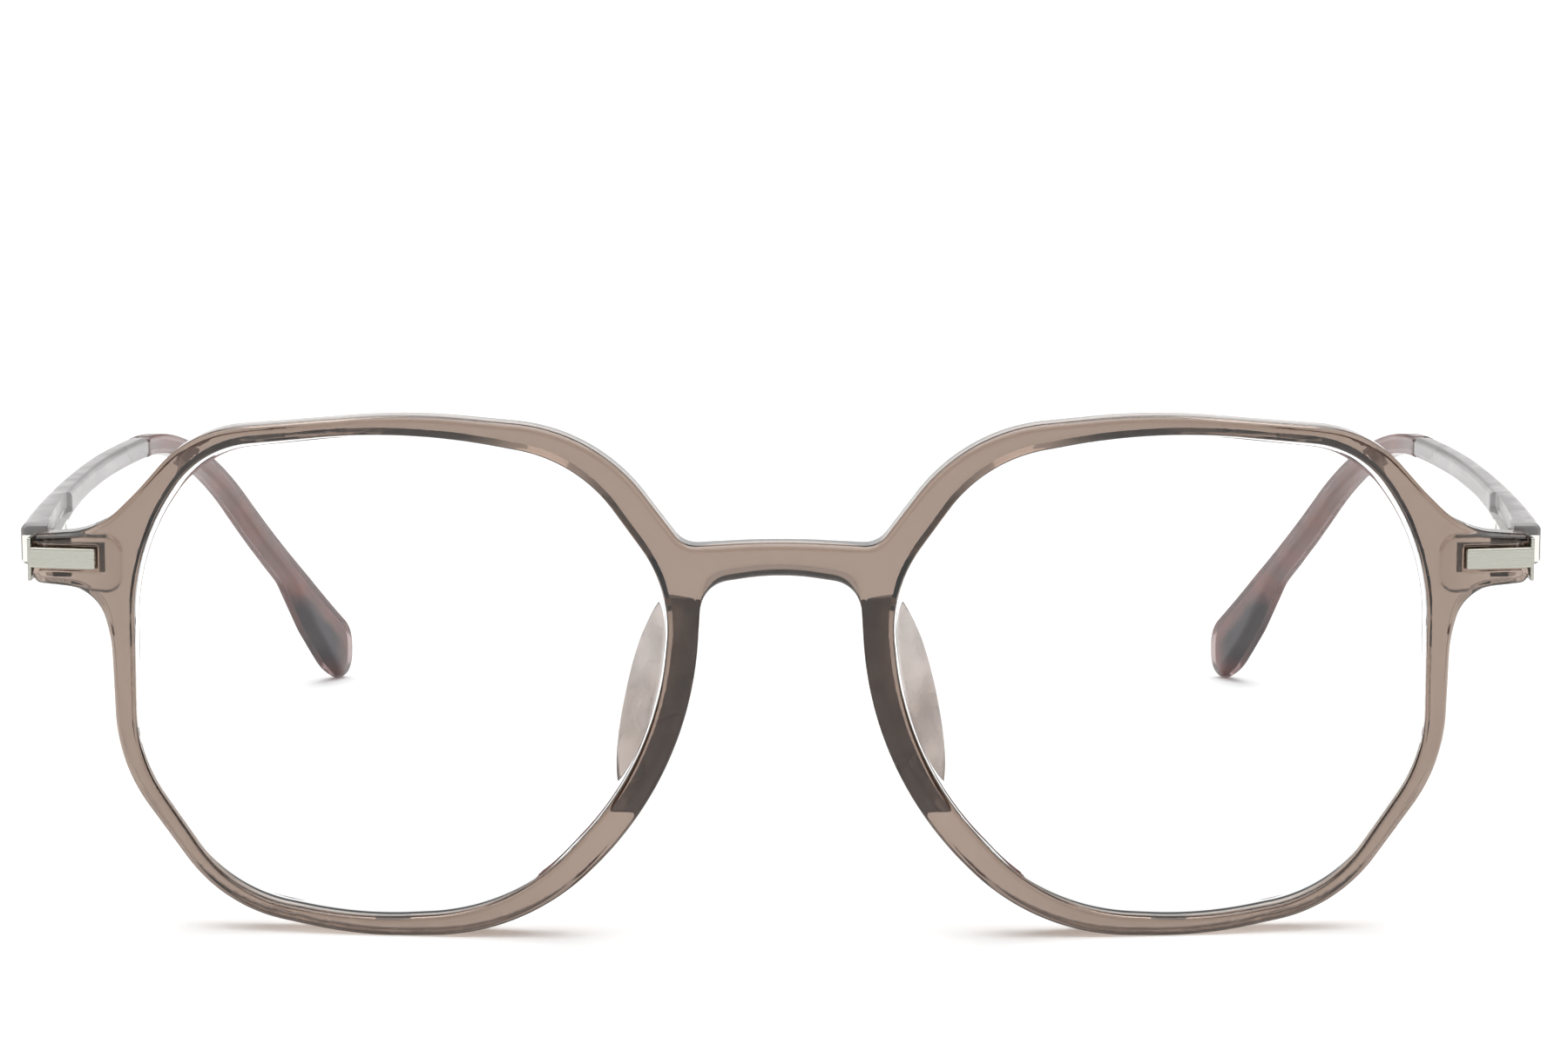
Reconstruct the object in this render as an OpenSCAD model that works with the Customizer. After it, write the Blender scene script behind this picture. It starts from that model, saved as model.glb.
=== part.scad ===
// Geometric eyeglasses: a moulded translucent front, two lenses and two folding temples.
// Millimetres. X runs across the face, Y runs back towards the ears and Z is up.
// The glasses stand with the temples open, on two rims and two temple tips, at Z = 0.

/* [Eyes] */
// Width of an eye opening
eye_w = 50; // [44:0.5:60]
// Height of an eye opening
eye_h = 45.8; // [42:0.2:56]
// Gap between the two eye openings, at the nose
bridge_w = 21.6; // [18:0.2:26]
// Thickness of a lens
lens_t = 1.8; // [1.2:0.1:2.2]
// Radius of the front of a lens
lens_r = 180; // [150:5:260]
// Depth of the groove that holds a lens
groove = 0.55; // [0.3:0.05:0.7]
// Play round a lens in its groove
lens_play = 0.04; // [0.02:0.01:0.1]

/* [Front] */
// Radius of the bow of the front, seen from above
bow_r = 350; // [280:10:500]
// Thickness of the front, from its face to its back
front_t = 4.2; // [3.8:0.1:5.5]
// Width of the rim above the eye
rim_top = 1.5; // [1.2:0.1:3]
// Width of the rim on the temple side, beside the end piece
rim_side = 2.4; // [1.8:0.1:3.4]
// Width of the rim lower down on the temple side
rim_cheek = 1.9; // [1.4:0.1:3]
// Width of the rim below the eye
rim_low = 1.6; // [1.2:0.1:3]
// Width of the rim beside the nose
rim_nose = 3.4; // [3:0.1:4]
// Width of the rim where it comes down to the bridge
rim_brow = 3; // [2:0.1:4]
// Height of the bridge at its middle
bridge_h = 3.1; // [2.6:0.1:6]
// Drop from the top of an eye opening to the top of the bridge
bridge_drop = 9.9; // [6:0.1:14]

/* [End pieces] */
// Reach of an end piece past the eye opening
end_reach = 10.2; // [9.4:0.1:12.5]
// Height of an end piece
end_h = 4.6; // [4.2:0.1:6]
// Thickness of an end piece at its outer end
end_t = 2.8; // [2.4:0.1:3.6]
// Drop from the top of an eye opening to the middle of an end piece
end_drop = 12.35; // [9:0.05:16]
// How far the end block stands proud of the rim
block_proud = 0.25; // [0.1:0.05:0.5]

/* [Trim] */
// Length of the trim bar on the front
bar_l = 6.2; // [5.6:0.1:7.5]
// Height of the trim bar
bar_h = 1.95; // [1.4:0.05:2.6]
// Height of the trim bar above the end block
bar_proud = 0.35; // [0.15:0.05:0.6]
// How deep the trim bar is let in
bar_sunk = 0.45; // [0.3:0.05:0.7]
// Thickness of the side plate on the end face
plate_t = 0.4; // [0.3:0.05:0.8]
// Diameter of the two rivet studs behind the bar
stud_d = 0.9; // [0.7:0.05:1.1]

/* [Hinges] */
// Diameter of the hinge barrels
barrel_d = 2.6; // [2.2:0.1:3]
// Height of the three barrels together
barrel_h = 3.9; // [3.4:0.1:4.2]
// Diameter of the hinge screw
pin_d = 1.2; // [1:0.05:1.4]
// Thickness of the hinge leaves
leaf_t = 0.8; // [0.6:0.05:1]
// Height of the hinge leaves
leaf_h = 2.8; // [2.4:0.1:3.4]
// Height of the middle barrel, which belongs to the temple
middle_h = 1.5; // [1.2:0.1:1.8]
// Running gap between hinge parts that turn on each other
hinge_gap = 0.05; // [0.03:0.01:0.1]

/* [Temples] */
// How far the temples bow out past the end pieces
temple_out = 3.7; // [2.5:0.1:8]
// Distance from the bridge to the widest place of the temples
wide_y = 60; // [50:1:70]
// Radius of a temple's bow from the hinge to its widest place
arm_r = 600; // [480:10:800]
// Radius of a temple's bow from its widest place to the tip
ear_plan_r = 200; // [160:5:260]
// Thickness of a temple at the hinge
arm_t = 3.2; // [3:0.1:4]
// Thickness of a temple at its middle
arm_t_mid = 2.2; // [1.9:0.1:3]
// Thickness of a temple tip at its end
tip_t = 2.8; // [2.4:0.1:3.6]
// Height of a temple at the hinge
arm_h = 3.9; // [3.8:0.1:5]
// Height of a temple at its middle
arm_h_mid = 2.3; // [2.1:0.1:3]
// Distance from the bridge to the joint between arm and tip
ear_y = 84; // [76:1:96]
// Angle that the tip bends down behind the ear
ear_angle = 38; // [32:1:42]
// Radius of the bend behind the ear
ear_r = 52; // [42:1:60]
// Thickness of the flat metal core in a tip
core_t = 0.9; // [0.6:0.05:1.1]
// Plastic left round the core of a tip, seen from the side
core_cover = 0.65; // [0.5:0.05:0.8]

/* [Nose pads] */
// Depth of a nose pad behind the front
pad_d = 7.2; // [5:0.1:8]
// Length of a nose pad where it meets the front
pad_l = 20.6; // [16:0.2:23]
// Angle that a nose pad flares outwards
pad_flare = 31; // [18:1:34]
// Thickness of a nose pad
pad_t = 2.1; // [1.5:0.1:2.4]

/* [Hidden] */

fit = 0.03;

// Sizes of shapes that only cut: longer than the temples, taller than the front, deeper than its bow.
big = 200;
tall = 60;
deep = 20;
arc_fn = 360;
arc_step = 7.5;

out = eye_w / 2;
up = eye_h / 2;

// Corners of an eye opening, clockwise from the top: X towards the temple, Z, radius.
eye = [
  [-0.8, up + 0.6, 60],
  [out - 6.3, up - 1.4, 10],
  [out + 0.4, 11.6, 22],
  [out + 0.4, -8.4, 14],
  [out - 8.5, 1.7 - up, 13.5],
  [4.2, -up - 0.45, 40],
  [14.4 - out, 0.55 - up, 20],
  [0.95 - out, -7.4, 30],
  [-out - 0.6, 8.6, 13],
  [8.2 - out, up - 2.2, 14]
];
// Width of the rim at each of those corners.
rim = [
  rim_top, (rim_top + rim_cheek) / 2, rim_side, rim_cheek, rim_low - 0.2,
  rim_low, (2 * rim_low + rim_nose) / 3, rim_nose, rim_nose, rim_brow
];
rim_outer = grown(eye, rim);

// The corner under the eye, which stands on the ground and is cut flat by this much.
foot = 5;
foot_cut = 0.04;
eye_x = bridge_w / 2 + out;
eye_z = rim_outer[foot][2] - centre_of(rim_outer, foot)[1] - foot_cut;
eye_top = eye_z + up;
eye_turn = asin(eye_x / bow_r);
lens_set = 0.15;

bridge_z = eye_top - bridge_drop;
bridge_top_r = 80;
bridge_blend = 2.5;
arch_x = bridge_w / 2 - rim_nose;
arch_z = bridge_z - bridge_h;

// The arch under the bridge: its crown, its shoulders and their radii. The crown's is limited by its run.
arch_crown = 0.25;
arch_shoulder = 0.9;
arch_side_r = 3;
arch_mid_r = min(22, (arch_x - arch_side_r) * arch_x / (arch_crown + arch_shoulder));

// Where the rim's outer edge comes down to the bridge, and where that straight edge starts.
brow = [eye_x, eye_z] + start_of(rim_outer, 9);
brow_foot = [eye_x, eye_z] + end_of(rim_outer, 8);
join_z = bridge_z - 0.35;
join_x = brow[0] + (brow_foot[0] - brow[0]) * (brow[1] - join_z) / (brow[1] - brow_foot[1]);

rim_x = eye_x + out + 0.4 + rim_side;
end_x = eye_x + out + end_reach;
wide_x = end_x + temple_out;
end_z = eye_top - end_drop;
end_top = end_z + end_h / 2;
end_low = end_z - end_h / 2;
end_back = bow_y(end_x) + end_t;
end_flat_x = eye_x + out + 1.6;
blend_top = 8.5;
blend_low = 4.2;

// The raised block is as high as the end piece at its outer end and higher where it ends at the rim.
block_x = eye_x + out + 1.3;
block_top = [end_h / 2 - 0.15, end_h / 2 + 0.35];
block_low = [end_h / 2 - 0.15, end_h / 2 + 0.9];
bar_z = end_z + 0.2;
bar_x = end_x - bar_l;
stud_x = [end_x - 5.3, end_x - 3.1];
stud_in = 0.1;
plate_h = end_h - 0.5;

// The hinge turns on a vertical line just behind the end piece.
barrel_r = barrel_d / 2;
leaf_proud = 0.1;
hinge_x = end_x - 2.4;
hinge_y = end_back + leaf_proud + 0.1 + barrel_r;
hinge_z = end_z;
leaf_x = [end_x - 7, hinge_x + 0.6];
leaf_back = end_back + leaf_proud;
web_w = 1.8;
web_x = hinge_x + 0.5 - web_w;
outer_h = (barrel_h - middle_h) / 2 - hinge_gap;
splay = asin((wide_y - hinge_y) / arm_r);
temple_leaf_l = 10;
temple_leaf_z = [-middle_h / 2, leaf_h - 0.2 - middle_h / 2];
temple_leaf_x = barrel_r - leaf_t;
leaf_start = barrel_r + 0.2;
leaf_screw_y = [4, 7.6];
leaf_screw_z = 0.7;
leaf_screw_d = 1.1;
leaf_screw_l = 1.7;
leaf_head_d = 1.9;
leaf_head_t = 0.35;
flange_t = 0.6;
flange_lap = 0.6;
flange_y = end_back + 0.15;
flange_x = wide_x - sag(arm_r, wide_y - flange_y) - 0.2;
relief_r = barrel_r + 0.2;
pin_head_d = 1.9;
pin_head_t = 0.5;

// Width and depth of the slots in the heads of the hinge screws and of the leaf screws.
pin_slot = [0.3, 0.25];
leaf_slot = [0.24, 0.15];

// Side of a temple: a straight arm, a bend, and a tip that widens to a paddle and ends in a round toe.
arm_front = flange_y + flange_t + fit;
arm_top = end_z + end_h / 2 + 0.5;
arm_drop = 0.6;
arm_taper_y = 40;
pocket_y = 36;
ear_top = arm_top - arm_drop;
ear_low = ear_top - arm_h_mid;
heel_h = 6.7;
ear_straight = 0.6;
bend_y = ear_y + ear_straight + ear_r * tan(ear_angle / 2);
fall = tan(ear_angle);
tip_y = bend_y + (ear_top - heel_h) / fall;
paddle_y = tip_y - 10;
throat = 14;
throat_y = bend_y + (ear_low - throat) / fall - arm_h_mid * tan(ear_angle / 2);
arm_side = [
  [arm_front, arm_top, 0.3],
  [ear_y, ear_top, 0.1],
  [ear_y, ear_low, 0.1],
  [arm_taper_y, ear_low + 0.3, 30],
  [arm_front, arm_top - arm_h, 0.3]
];
tip_side = [
  [ear_y + hinge_gap, ear_top, 0.1],
  [bend_y, ear_top, ear_r],
  [paddle_y, ear_top - (paddle_y - bend_y) * fall, 30],
  [tip_y, 6.3, 4],
  [tip_y - 0.13, -1.4, 0.9],
  [tip_y - 7.8, 7, 5],
  [throat_y, throat, 8],
  [bend_y - arm_h_mid * tan(ear_angle / 2), ear_low, ear_r - arm_h_mid],
  [ear_y + hinge_gap, ear_low, 0.1]
];
core_in = 8;
core_side = concat(
  [[ear_y - core_in, ear_top - core_cover, 0.1]],
  [for (i = [1:7]) grown(tip_side, [for (p = tip_side) -core_cover])[i]],
  [[ear_y - core_in, ear_low + core_cover, 0.1]]
);

// Plan of a temple: two arcs that meet at its widest place.
front_run = wide_y - arm_front;
front_sag = sag(arm_r, front_run) + arm_t - arm_t_mid;
arm_r_in = radius_of(front_run, front_sag);
tip_run = tip_y - wide_y;
tip_slope = asin(tip_run / ear_plan_r);
tip_sag = sag(ear_plan_r, tip_run) + tip_t / cos(tip_slope) - arm_t_mid;
ear_plan_r_in = radius_of(tip_run, tip_sag);

plan_steps = 18;
plan_y = [for (k = [0:plan_steps]) arm_front - 1 + (tip_y - arm_front + 2) * k / plan_steps];
function outer_x(y) = wide_x - sag(y < wide_y ? arm_r : ear_plan_r, abs(y - wide_y));
function inner_x(y) = wide_x - arm_t_mid - sag(y < wide_y ? arm_r_in : ear_plan_r_in, abs(y - wide_y));

// The nose pads sit in a step in the back of the rims, each with a tongue. They are deepest a
// little above their middle.
pad_z = eye_z - 2.8;
pad_step = 0.7;
pad_edge = 0.3;
pad_arc = radius_of(pad_l / 2, pad_d);
pad_lift = 1;
tongue = [1.3, 2.0];
tongue_l = 12;
tongue_in = 1.9;

overall_y = centre_of(tip_side, 3)[0] + tip_side[3][2];

pick_brown = [0.66, 0.58, 0.53, 0.9];
pick_lens = [0.85, 0.9, 0.95, 0.35];
pick_pad = [0.8, 0.76, 0.73];
pick_metal = [0.76, 0.75, 0.71];
pick_arm = [0.78, 0.77, 0.78];
pick_core = [0.38, 0.38, 0.42];
pick_tip = [0.59, 0.5, 0.5, 0.8];

// Depth of the front's face behind the bridge, at a distance from the middle.
function bow_y(x) = bow_r - sqrt(bow_r * bow_r - x * x);
function sag(r, run) = r - sqrt(r * r - run * run);
function radius_of(run, rise) = (run * run + rise * rise) / (2 * rise);

// Rounded outlines: a list of [a, b, radius] corners, given clockwise.
function spot(p) = [p[0], p[1]];
function along(a, b) = (spot(b) - spot(a)) / norm(spot(b) - spot(a));
function before(c, i) = along(c[i], c[(i + len(c) - 1) % len(c)]);
function after(c, i) = along(c[i], c[(i + 1) % len(c)]);
function half_angle(c, i) = acos(before(c, i) * after(c, i)) / 2;
function inward(c, i) = (before(c, i) + after(c, i)) / norm(before(c, i) + after(c, i));
function sense(c, i) = sign(cross(before(c, i), after(c, i)));
function start_of(c, i) = spot(c[i]) + before(c, i) * c[i][2] / tan(half_angle(c, i));
function end_of(c, i) = spot(c[i]) + after(c, i) * c[i][2] / tan(half_angle(c, i));
function centre_of(c, i) = spot(c[i]) + inward(c, i) * c[i][2] / sin(half_angle(c, i));
function moved(c, i, g) = spot(c[i]) - inward(c, i) * sense(c, i) * g / sin(half_angle(c, i));
function grown(c, g) = [
  for (i = [0:len(c) - 1])
    concat(moved(c, i, g[i]), [max(0.05, c[i][2] + sense(c, i) * g[i])])
];
function even(c, g) = grown(c, [for (p = c) g]);
function spun(v, a) = [v[0] * cos(a) - v[1] * sin(a), v[0] * sin(a) + v[1] * cos(a)];
function turn_of(c, i) = 180 - 2 * half_angle(c, i);
function steps_of(c, i) = ceil(turn_of(c, i) / arc_step);
function spoke_of(c, i, share) =
  spun(start_of(c, i) - centre_of(c, i), -sense(c, i) * turn_of(c, i) * share);
function arc_of(c, i) = [
  for (k = [0:steps_of(c, i)])
    centre_of(c, i) + spoke_of(c, i, k / steps_of(c, i))
];

module outline(c) {
  polygon([for (i = [0:len(c) - 1]) each arc_of(c, i)]);
}

// A flat X-Z shape pulled back from y0 to y1.
module pulled(y0, y1) {
  translate([0, y1, 0])
    rotate([90, 0, 0])
      linear_extrude(y1 - y0) children();
}

// A flat Y-Z shape pulled across to +X.
module across(x0, x1) {
  translate([x0, 0, 0])
    rotate([90, 0, 90])
      linear_extrude(x1 - x0) children();
}

module both() {
  children();
  mirror([1, 0, 0]) children();
}

// Everything is drawn with the bridge's face at Y = 0, then centred front to back.
module placed(side) {
  translate([0, -overall_y / 2, 0])
    mirror([side < 0 ? 1 : 0, 0, 0]) children();
}

// The curved slab between two depths behind the face of the front.
module bow(d0, d1) {
  translate([0, bow_r, -1])
    difference() {
      cylinder(r = bow_r - d0, h = tall + 2, $fn = arc_fn * 2);
      translate([0, 0, -1])
        cylinder(r = bow_r - d1, h = tall + 4, $fn = arc_fn * 2);
    }
}

module at_eye() {
  translate([eye_x, bow_y(eye_x), eye_z])
    rotate([0, 0, eye_turn]) children();
}

// Half a slice through the middle of a round blank, which turns into the blank.
module shell_slice(r_out, r_in) {
  slices = 24;
  step = asin(1.6 * out / lens_r) / slices;
  polygon(concat(
    [for (k = [0:slices]) [r_out * sin(k * step), r_out * cos(k * step)]],
    [for (k = [slices:-1:0]) [r_in * sin(k * step), r_in * cos(k * step)]]
  ));
}

module lens_body(play) {
  intersection() {
    translate([eye_x, 0, eye_z])
      pulled(-2, deep) outline(even(eye, groove + play));
    at_eye()
      translate([0, lens_set + lens_r, 0])
        rotate([90, 0, 0])
          rotate_extrude($fn = arc_fn / 2)
            shell_slice(lens_r + play, lens_r - lens_t - play);
  }
}

// The whole outline of the front: half of it, then its mirror image the other way round.
function from_eye(p) = [eye_x + p[0], eye_z + p[1], p[2]];
front_half = [
  [join_x, join_z, bridge_blend],
  from_eye(rim_outer[9]),
  from_eye(rim_outer[0]),
  from_eye(rim_outer[1]),
  [rim_x - 2.9, end_top + 4.4, 25],
  [rim_x + 1.1, end_top + 0.5, blend_top],
  [end_x, end_top, 0.6],
  [end_x, end_low, 1],
  [rim_x + 1.2, end_low - 0.45, blend_low],
  [rim_x - 0.1, end_low - 5.2, 14],
  from_eye(rim_outer[3]),
  from_eye(rim_outer[4]),
  from_eye(rim_outer[5]),
  from_eye(rim_outer[6]),
  from_eye(rim_outer[7]),
  [arch_x, arch_z - arch_shoulder, arch_side_r]
];
front_outline = concat(
  [[0, bridge_z + 0.15, bridge_top_r]],
  front_half,
  [[0, arch_z + arch_crown, arch_mid_r]],
  [for (i = [len(front_half) - 1:-1:0]) [-front_half[i][0], front_half[i][1], front_half[i][2]]]
);

// The raised block round the trim bar, open at the end face.
module block_shape() {
  outline([
    [end_x, end_z + block_top[0], 0.3],
    [end_x, end_z - block_low[0], 0.3],
    [block_x, end_z - block_low[1], 2],
    [block_x, end_z + block_top[1], 2]
  ]);
}

module bar_shape(play) {
  outline([
    [end_x + plate_t, bar_z + bar_h / 2 + play, 0.1],
    [end_x + plate_t, bar_z - bar_h / 2 - play, 0.1],
    [bar_x - play, bar_z - bar_h / 2 - play, 0.25],
    [bar_x - play, bar_z + bar_h / 2 + play, 0.25]
  ]);
}

module studs(d, y1) {
  for (x = stud_x)
    translate([x, bow_y(x) + stud_in, bar_z])
      rotate([-90, 0, 0])
        cylinder(d = d, h = y1 - bow_y(x) - stud_in, $fn = 32);
}

module bar_body(play) {
  intersection() {
    pulled(-2, deep) bar_shape(play);
    bow(-block_proud - bar_proud - (play > 0 ? 1 : 0), bar_sunk - block_proud + play);
  }
}

// The part of a rim beside the nose, between two widths from the eye opening.
module nose_ring(g0, g1, z0, z1) {
  translate([eye_x, eye_z])
    intersection() {
      difference() {
        outline(even(eye, g1));
        outline(even(eye, g0));
      }
      translate([-out - 8, z0 - eye_z])
        square([out, z1 - z0]);
    }
}

module pad_base(play) {
  z0 = pad_z - pad_l / 2 - play;
  z1 = pad_z + pad_l / 2 + play;
  intersection() {
    pulled(-2, deep) nose_ring(pad_edge - play, pad_edge + pad_t + play, z0, z1);
    bow(front_t - pad_step - play, front_t + (play > 0 ? 2 : 0.3));
  }
  t0 = pad_z - tongue_l / 2 - play;
  t1 = pad_z + tongue_l / 2 + play;
  intersection() {
    pulled(-2, deep) nose_ring(tongue[0] - play, tongue[1] + play, t0, t1);
    bow(front_t - tongue_in - play, front_t - pad_step + 0.1);
  }
}

module front_hinge_pocket(play) {
  translate([leaf_x[0] - play, leaf_back - leaf_t - play, hinge_z - leaf_h / 2 - play])
    cube([leaf_x[1] - leaf_x[0] + 2 * play, deep, leaf_h + 2 * play]);
}

module end_block() {
  intersection() {
    pulled(-2, deep) block_shape();
    bow(-block_proud, 1);
  }
}

module front_frame() {
  color(pick_brown)
    placed(1)
      difference() {
        union() {
          intersection() {
            pulled(-2, deep) outline(front_outline);
            bow(0, front_t);
          }
          both() end_block();
        }
        both() {
          translate([eye_x, 0, eye_z])
            pulled(-2, deep) outline(eye);
          lens_body(lens_play);
          translate([end_flat_x, end_back, end_z - tall / 2])
            cube([deep, deep, tall]);
          bar_body(fit);
          studs(stud_d + 2 * fit, end_back + 1);
          front_hinge_pocket(fit);
          pad_base(fit);
        }
        translate([-big, -big, -deep])
          cube([2 * big, 2 * big, deep]);
      }
}

module lens(side) {
  color(pick_lens)
    placed(side) lens_body(0);
}

module nose_pad(side) {
  color(pick_pad)
    placed(side) {
      pad_base(0);
      intersection() {
        translate([eye_x - out - pad_edge - pad_t, front_t, 0])
          rotate([0, 0, -pad_flare])
            translate([-(eye_x - out - pad_edge - pad_t), -front_t, 0])
              pulled(-2, deep)
                nose_ring(pad_edge, pad_edge + pad_t, pad_z - pad_l / 2, pad_z + pad_l / 2);
        translate([0, front_t + pad_d - pad_arc, pad_z + pad_lift])
          rotate([0, 90, 0])
            cylinder(r = pad_arc, h = big, $fn = arc_fn);
        bow(front_t + fit, front_t + deep);
      }
    }
}

module corner_plate(side) {
  color(pick_metal)
    placed(side) {
      bar_body(0);
      studs(stud_d, leaf_back - 0.1);
      intersection() {
        translate([end_x + fit, -1, end_z - plate_h / 2])
          cube([plate_t - fit, end_back + 1, plate_h]);
        bow(-block_proud - bar_proud, deep);
      }
    }
}

module barrel(r, z0, h) {
  translate([hinge_x, hinge_y, hinge_z + z0])
    cylinder(r = r, h = h, $fn = 48);
}

module front_hinge(side) {
  color(pick_metal)
    placed(side)
      difference() {
        union() {
          translate([leaf_x[0], leaf_back - leaf_t, hinge_z - leaf_h / 2])
            cube([leaf_x[1] - leaf_x[0], leaf_t, leaf_h]);
          for (z0 = [-barrel_h / 2, barrel_h / 2 - outer_h]) {
            barrel(barrel_r, z0, outer_h);
            translate([web_x, leaf_back - 0.1, hinge_z + z0])
              cube([web_w, hinge_y - leaf_back + 0.1, outer_h]);
          }
        }
        barrel(pin_d / 2 + fit, -barrel_h, 2 * barrel_h);
        barrel(pin_head_d / 2 + fit, barrel_h / 2 - pin_head_t, pin_head_t + 1);
        studs(stud_d + 2 * fit, leaf_back + fit);
      }
}

module hinge_screw(side) {
  color(pick_metal)
    placed(side) {
      barrel(pin_d / 2, -barrel_h / 2, barrel_h - 0.2);
      difference() {
        barrel(pin_head_d / 2, barrel_h / 2 - pin_head_t + fit, pin_head_t - fit);
        translate([hinge_x - pin_head_d, hinge_y - pin_slot[0] / 2, hinge_z + barrel_h / 2 - pin_slot[1]])
          cube([2 * pin_head_d, pin_slot[0], pin_head_t]);
      }
    }
}

// The temple's own direction where it leaves the hinge.
module at_hinge() {
  translate([hinge_x, hinge_y, hinge_z])
    rotate([0, 0, -splay]) children();
}

module leaf_screw(d, l, head_d, head_t) {
  translate([temple_leaf_x, 0, 0])
    rotate([0, 90, 0]) {
      cylinder(d = d, h = l, $fn = 32);
      cylinder(d = head_d, h = head_t, $fn = 32);
    }
}

module temple_hinge(side) {
  color(pick_metal)
    placed(side)
      difference() {
        union() {
          barrel(barrel_r, -middle_h / 2, middle_h);
          at_hinge() {
            translate([temple_leaf_x, leaf_start, temple_leaf_z[0]])
              cube([leaf_t, temple_leaf_l - leaf_start, temple_leaf_z[1] - temple_leaf_z[0]]);
            translate([temple_leaf_x, 0, -middle_h / 2])
              cube([leaf_t, leaf_start + 1, middle_h]);
          }
          translate([hinge_x, flange_y - 0.05, hinge_z - middle_h / 2])
            cube([relief_r + flange_lap, flange_t, middle_h]);
          translate([hinge_x + relief_r, flange_y, hinge_z + temple_leaf_z[0]])
            cube([flange_x - hinge_x - relief_r, flange_t, temple_leaf_z[1] - temple_leaf_z[0]]);
        }
        barrel(pin_d / 2 + fit, -barrel_h, 2 * barrel_h);
        at_hinge()
          for (y = leaf_screw_y)
            translate([0, y, leaf_screw_z])
              leaf_screw(leaf_screw_d + 2 * fit, 3, leaf_head_d + 2 * fit, leaf_head_t + fit);
      }
}

module leaf_screws(side) {
  color(pick_metal)
    placed(side)
      at_hinge()
        for (y = leaf_screw_y)
          translate([0, y, leaf_screw_z])
            difference() {
              leaf_screw(leaf_screw_d, leaf_t + leaf_screw_l, leaf_head_d, leaf_head_t);
              translate([temple_leaf_x - 1, -leaf_slot[0] / 2, -leaf_head_d])
                cube([1 + leaf_slot[1], leaf_slot[0], 2 * leaf_head_d]);
            }
}

module temple_plan(inset) {
  linear_extrude(tall)
    polygon(concat(
      [for (y = plan_y) [outer_x(y) - inset, y]],
      [for (i = [plan_steps:-1:0]) [inner_x(plan_y[i]) + inset, plan_y[i]]]
    ));
}

module tip_core_body(play) {
  intersection() {
    across(0, big) outline(even(core_side, play));
    temple_plan((arm_t_mid - core_t) / 2 - play);
  }
}

module temple_arm(side) {
  color(pick_arm)
    placed(side)
      difference() {
        intersection() {
          across(0, big) outline(arm_side);
          temple_plan(0);
        }
        barrel(relief_r, -deep / 2, deep);
        at_hinge() {
          translate([-deep, -deep, temple_leaf_z[0] - fit])
            cube([deep + barrel_r + fit, deep + pocket_y - hinge_y, deep]);
          for (y = leaf_screw_y)
            translate([0, y, leaf_screw_z])
              leaf_screw(leaf_screw_d + 2 * fit, leaf_t + leaf_screw_l + 0.1, leaf_screw_d, 0.1);
        }
        tip_core_body(fit);
      }
}

module tip_core(side) {
  color(pick_core)
    placed(side) tip_core_body(0);
}

module temple_tip(side) {
  color(pick_tip)
    placed(side)
      difference() {
        intersection() {
          across(0, big) outline(tip_side);
          temple_plan(0);
          cube(big);
        }
        tip_core_body(fit);
      }
}

front_frame();
lens(-1);  // right_lens
lens(1);  // left_lens
nose_pad(-1);  // right_nose_pad
nose_pad(1);  // left_nose_pad
corner_plate(-1);  // right_corner_plate
corner_plate(1);  // left_corner_plate
front_hinge(-1);  // right_front_hinge
front_hinge(1);  // left_front_hinge
hinge_screw(-1);  // right_hinge_screw
hinge_screw(1);  // left_hinge_screw
temple_hinge(-1);  // right_temple_hinge
temple_hinge(1);  // left_temple_hinge
temple_arm(-1);  // right_temple_arm
temple_arm(1);  // left_temple_arm
leaf_screws(-1);  // right_leaf_screws
leaf_screws(1);  // left_leaf_screws
tip_core(-1);  // right_tip_core
tip_core(1);  // left_tip_core
temple_tip(-1);  // right_temple_tip
temple_tip(1);  // left_temple_tip
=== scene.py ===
import math

import bmesh
import bpy
import numpy as np
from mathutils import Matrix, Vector
from mathutils.geometry import delaunay_2d_cdt


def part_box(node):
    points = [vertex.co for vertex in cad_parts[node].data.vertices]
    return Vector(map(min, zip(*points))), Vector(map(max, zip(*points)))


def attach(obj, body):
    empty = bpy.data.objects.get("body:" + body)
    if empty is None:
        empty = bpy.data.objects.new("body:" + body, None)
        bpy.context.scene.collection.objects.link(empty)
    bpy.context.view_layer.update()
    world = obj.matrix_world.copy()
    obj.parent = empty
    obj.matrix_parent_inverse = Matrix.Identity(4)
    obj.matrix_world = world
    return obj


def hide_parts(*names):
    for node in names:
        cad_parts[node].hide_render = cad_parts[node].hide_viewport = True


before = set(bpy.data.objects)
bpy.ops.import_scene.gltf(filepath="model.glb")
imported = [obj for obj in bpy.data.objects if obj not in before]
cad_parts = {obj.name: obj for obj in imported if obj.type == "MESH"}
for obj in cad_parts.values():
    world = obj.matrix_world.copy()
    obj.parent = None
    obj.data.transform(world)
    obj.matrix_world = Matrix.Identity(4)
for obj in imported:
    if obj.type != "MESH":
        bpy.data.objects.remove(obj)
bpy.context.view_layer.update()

# THE FRONT
# Both rims, the bridge and the end pieces are one injection moulding in taupe polyamide, bowed
# to the face and polished by tumbling, so every edge is round. A V groove holds each lens.
# Shapes are worked out in millimetres from the bridge's face, on the wearer's left, and mirrored.
MM = 0.001
FACE_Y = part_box("front_frame")[0].y / MM
LEFT, RIGHT = 1, -1
SIDES = ((LEFT, "left"), (RIGHT, "right"))
EYE_W, EYE_H, BRIDGE_W = 50.0, 45.8, 21.6
OUT, UP = EYE_W / 2, EYE_H / 2
EYE_X = BRIDGE_W / 2 + OUT
BOW_R, FRONT_T = 350.0, 4.2
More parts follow.
